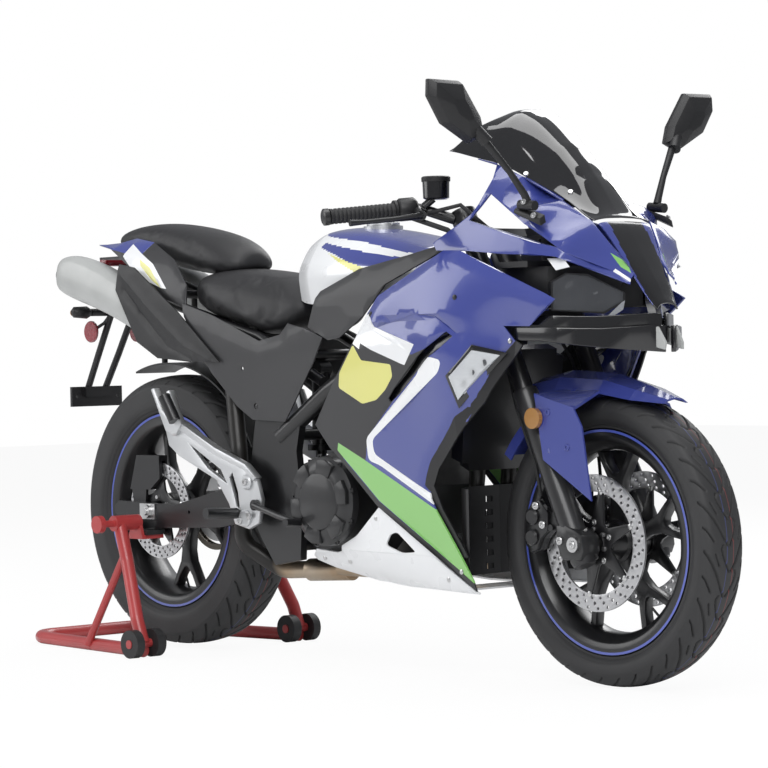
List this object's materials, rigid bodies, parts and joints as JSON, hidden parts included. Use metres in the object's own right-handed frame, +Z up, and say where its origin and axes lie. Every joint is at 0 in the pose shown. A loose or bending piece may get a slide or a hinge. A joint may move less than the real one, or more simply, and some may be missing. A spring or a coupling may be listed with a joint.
{
  "type": "sport motorcycle on a rear paddock stand",
  "caption": "Faired sport motorcycle with turning wheels, steering, folding side stand and hinged fuel cap, held upright by a rear paddock stand on rollers.",
  "frame": {"origin": "on the floor, in the middle of the overall length and width", "axes": "+X forward, +Y to the rider's left, +Z up"},
  "size_m": [2.11, 0.816, 1.213],
  "materials": {
    "tyre_rubber": "satin",
    "black_cast": "semi-gloss",
    "blue_paint": "gloss",
    "white_paint": "gloss",
    "dark_grey_paint": "gloss",
    "black_plastic": "grained",
    "bare_steel": "brushed",
    "bare_aluminium": "satin",
    "engine_metal": "satin",
    "header_steel": "heat tinted",
    "silver_paint": "satin",
    "seat_cover": "grained vinyl",
    "smoked_screen": "gloss",
    "lamp_glass": "gloss",
    "amber_lens": "moulded",
    "red_lens": "moulded",
    "grip_rubber": "ribbed",
    "black_steel": "semi-gloss",
    "stand_red": "gloss",
    "roller_rubber": "matt",
    "chain_steel": "oiled"
  },
  "bodies": {
    "chassis": {"frame": "black_steel", "engine": "engine_metal", "clutch_cover": "engine_metal", "radiator": "black_steel", "exhaust_pipes": "header_steel", "mufflers": "silver_paint", "heat_shields": "black_plastic", "swingarm": "black_steel", "rear_axle": "bare_steel", "shock": "black_steel", "chain": "chain_steel", "rear_caliper": "black_steel", "fuel_tank": "blue_paint", "rider_seat": "seat_cover", "passenger_seat": "seat_cover", "tail_cowl": "dark_grey_paint", "side_covers": "dark_grey_paint", "side_fairing_left": "blue_paint", "side_fairing_right": "blue_paint", "belly_pan": "white_paint", "inner_cowl": "black_plastic", "upper_cowl": "blue_paint", "nose_ridge": "black_plastic", "windscreen": "smoked_screen", "headlights": "lamp_glass", "beak": "black_plastic", "lamp_housing": "black_plastic", "instruments": "black_plastic", "fairing_signals": "lamp_glass", "mirrors": "black_plastic", "plate_bracket": "black_plastic", "rear_lamps": "red_lens", "rear_fender": "black_plastic", "foot_brackets": "bare_aluminium", "foot_controls": "black_steel", "paddock_stand": "stand_red", "stand_pads": "roller_rubber"},
    "steering": {"triple_clamps": "black_steel", "fork_legs": "black_steel", "front_axle": "bare_steel", "front_calipers": "black_steel", "brake_hoses": "grip_rubber", "front_fender": "blue_paint", "fork_reflectors": "amber_lens", "handlebars": "black_steel", "grips": "grip_rubber", "bar_controls": "black_plastic"},
    "front_wheel": {"front_tyre": "tyre_rubber", "front_rim": "black_cast", "front_discs": "bare_steel"},
    "rear_wheel": {"rear_tyre": "tyre_rubber", "rear_rim": "black_cast", "rear_disc": "bare_steel", "rear_sprocket": "bare_steel"},
    "fuel_cap": {"fuel_cap": "bare_aluminium"},
    "side_stand": {"side_stand": "black_steel"},
    "stand_rollers_right": {"stand_rollers_right": "roller_rubber"},
    "stand_rollers_left": {"stand_rollers_left": "roller_rubber"}
  },
  "joints": [
    {"name": "steering", "type": "hinge", "parent": "chassis", "child": "steering", "pos_m": [0.481, 0, 0.8], "axis": [-0.4226, 0, 0.9063], "range_deg": [-27, 27]},
    {"name": "front_wheel_spin", "type": "hinge", "parent": "steering", "child": "front_wheel", "pos_m": [0.762, 0, 0.293], "axis": [0, 1, 0], "continuous": true},
    {"name": "rear_wheel_spin", "type": "hinge", "parent": "chassis", "child": "rear_wheel", "pos_m": [-0.638, 0, 0.323], "axis": [0, 1, 0], "continuous": true},
    {"name": "fuel_cap_hinge", "type": "hinge", "parent": "chassis", "child": "fuel_cap", "pos_m": [0.105, 0, 0.96], "axis": [0, 1, 0], "range_deg": [0, 100]},
    {"name": "side_stand_fold", "type": "hinge", "parent": "chassis", "child": "side_stand", "pos_m": [-0.118, 0.152, 0.228], "axis": [0, -1, 0], "range_deg": [0, 100]},
    {"name": "stand_rollers_right_spin", "type": "hinge", "parent": "chassis", "child": "stand_rollers_right", "pos_m": [-0.521, -0.232, 0.032], "axis": [0, 1, 0], "continuous": true},
    {"name": "stand_rollers_left_spin", "type": "hinge", "parent": "chassis", "child": "stand_rollers_left", "pos_m": [-0.521, 0.232, 0.032], "axis": [0, 1, 0], "continuous": true}
  ]
}
